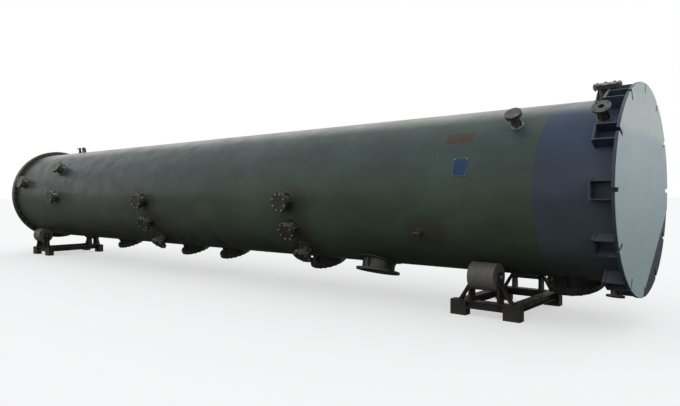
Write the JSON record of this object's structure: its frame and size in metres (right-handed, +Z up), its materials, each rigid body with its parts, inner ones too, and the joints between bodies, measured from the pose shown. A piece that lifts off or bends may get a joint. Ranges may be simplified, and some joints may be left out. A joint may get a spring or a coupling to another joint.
{
  "type": "gas absorption tower on roller stands",
  "caption": "Long cylindrical gas absorption tower with a flat anchored base, bolted dished head, manways and gusseted nozzles, lying on welded roller stands.",
  "frame": {"origin": "on the floor, under the middle of the whole outline", "axes": "+X along the tower towards its base ring, +Z up, -Y the side with the sign plate"},
  "size_m": [14.3596, 2.3257, 2.6292],
  "materials": {
    "base_paint": "satin blue-grey paint, slightly dusty",
    "dark_flange": "dark grey paint",
    "face_sheet": "smooth pale blue-grey protective sheet",
    "gasket": "black gasket",
    "green_paint": "semi-gloss grey-green paint with faint streaks",
    "nozzle_paint": "semi-gloss dark grey-green paint",
    "roller": "grey-brown worn roller facing",
    "stand_paint": "black-brown paint, rusty and dirty",
    "steel": "turned steel with grease"
  },
  "bodies": {
    "tower": {"anchor_chairs": "base_paint", "base_course": "base_paint", "base_face_sheet": "face_sheet", "base_low_nozzle": "nozzle_paint", "base_manway": "nozzle_paint", "base_ring": "base_paint", "base_stand_axles": "steel", "base_stand_brackets": "stand_paint", "base_stand_cross_beams": "stand_paint", "base_stand_feet": "stand_paint", "base_stand_side_rails": "stand_paint", "bed_manways": "nozzle_paint", "bed_nozzle_covers": "dark_flange", "body_gasket": "gasket", "bottom_plate": "base_paint", "crown_nozzle": "nozzle_paint", "dished_head": "green_paint", "gas_inlet_nozzle": "nozzle_paint", "gas_outlet_nozzle": "nozzle_paint", "gusseted_nozzle": "nozzle_paint", "gusseted_nozzle_cover": "dark_flange", "head_flange": "dark_flange", "level_nozzle": "nozzle_paint", "liquid_drain_nozzle": "nozzle_paint", "liquid_inlet_nozzle": "nozzle_paint", "lower_bed_nozzles": "nozzle_paint", "manway_covers": "dark_flange", "shell_course_1": "green_paint", "shell_course_2": "green_paint", "shell_course_3": "green_paint", "spray_nozzles": "nozzle_paint", "top_body_flange": "dark_flange", "top_stand_axles": "steel", "top_stand_brackets": "stand_paint", "top_stand_cross_beams": "stand_paint", "top_stand_feet": "stand_paint", "top_stand_side_rails": "stand_paint", "upper_bed_nozzles": "nozzle_paint", "upper_nozzle_covers": "dark_flange", "vent_nozzle": "nozzle_paint"},
    "base_far_roller": {"base_stand_far_roller": "roller"},
    "base_near_roller": {"base_stand_near_roller": "roller"},
    "top_far_roller": {"top_stand_far_roller": "roller"},
    "top_near_roller": {"top_stand_near_roller": "roller"}
  },
  "joints": [
    {"name": "base_far_roller_spin", "type": "hinge", "parent": "tower", "child": "base_far_roller", "pos_m": [5.64977, 0.63796, 0.47569], "axis": [1, 0, 0], "continuous": true},
    {"name": "base_near_roller_spin", "type": "hinge", "parent": "tower", "child": "base_near_roller", "pos_m": [5.64977, -0.60204, 0.47569], "axis": [1, 0, 0], "continuous": true},
    {"name": "top_far_roller_spin", "type": "hinge", "parent": "tower", "child": "top_far_roller", "pos_m": [-5.95023, 0.63796, 0.47569], "axis": [1, 0, 0], "continuous": true},
    {"name": "top_near_roller_spin", "type": "hinge", "parent": "tower", "child": "top_near_roller", "pos_m": [-5.95023, -0.60204, 0.47569], "axis": [1, 0, 0], "continuous": true}
  ]
}
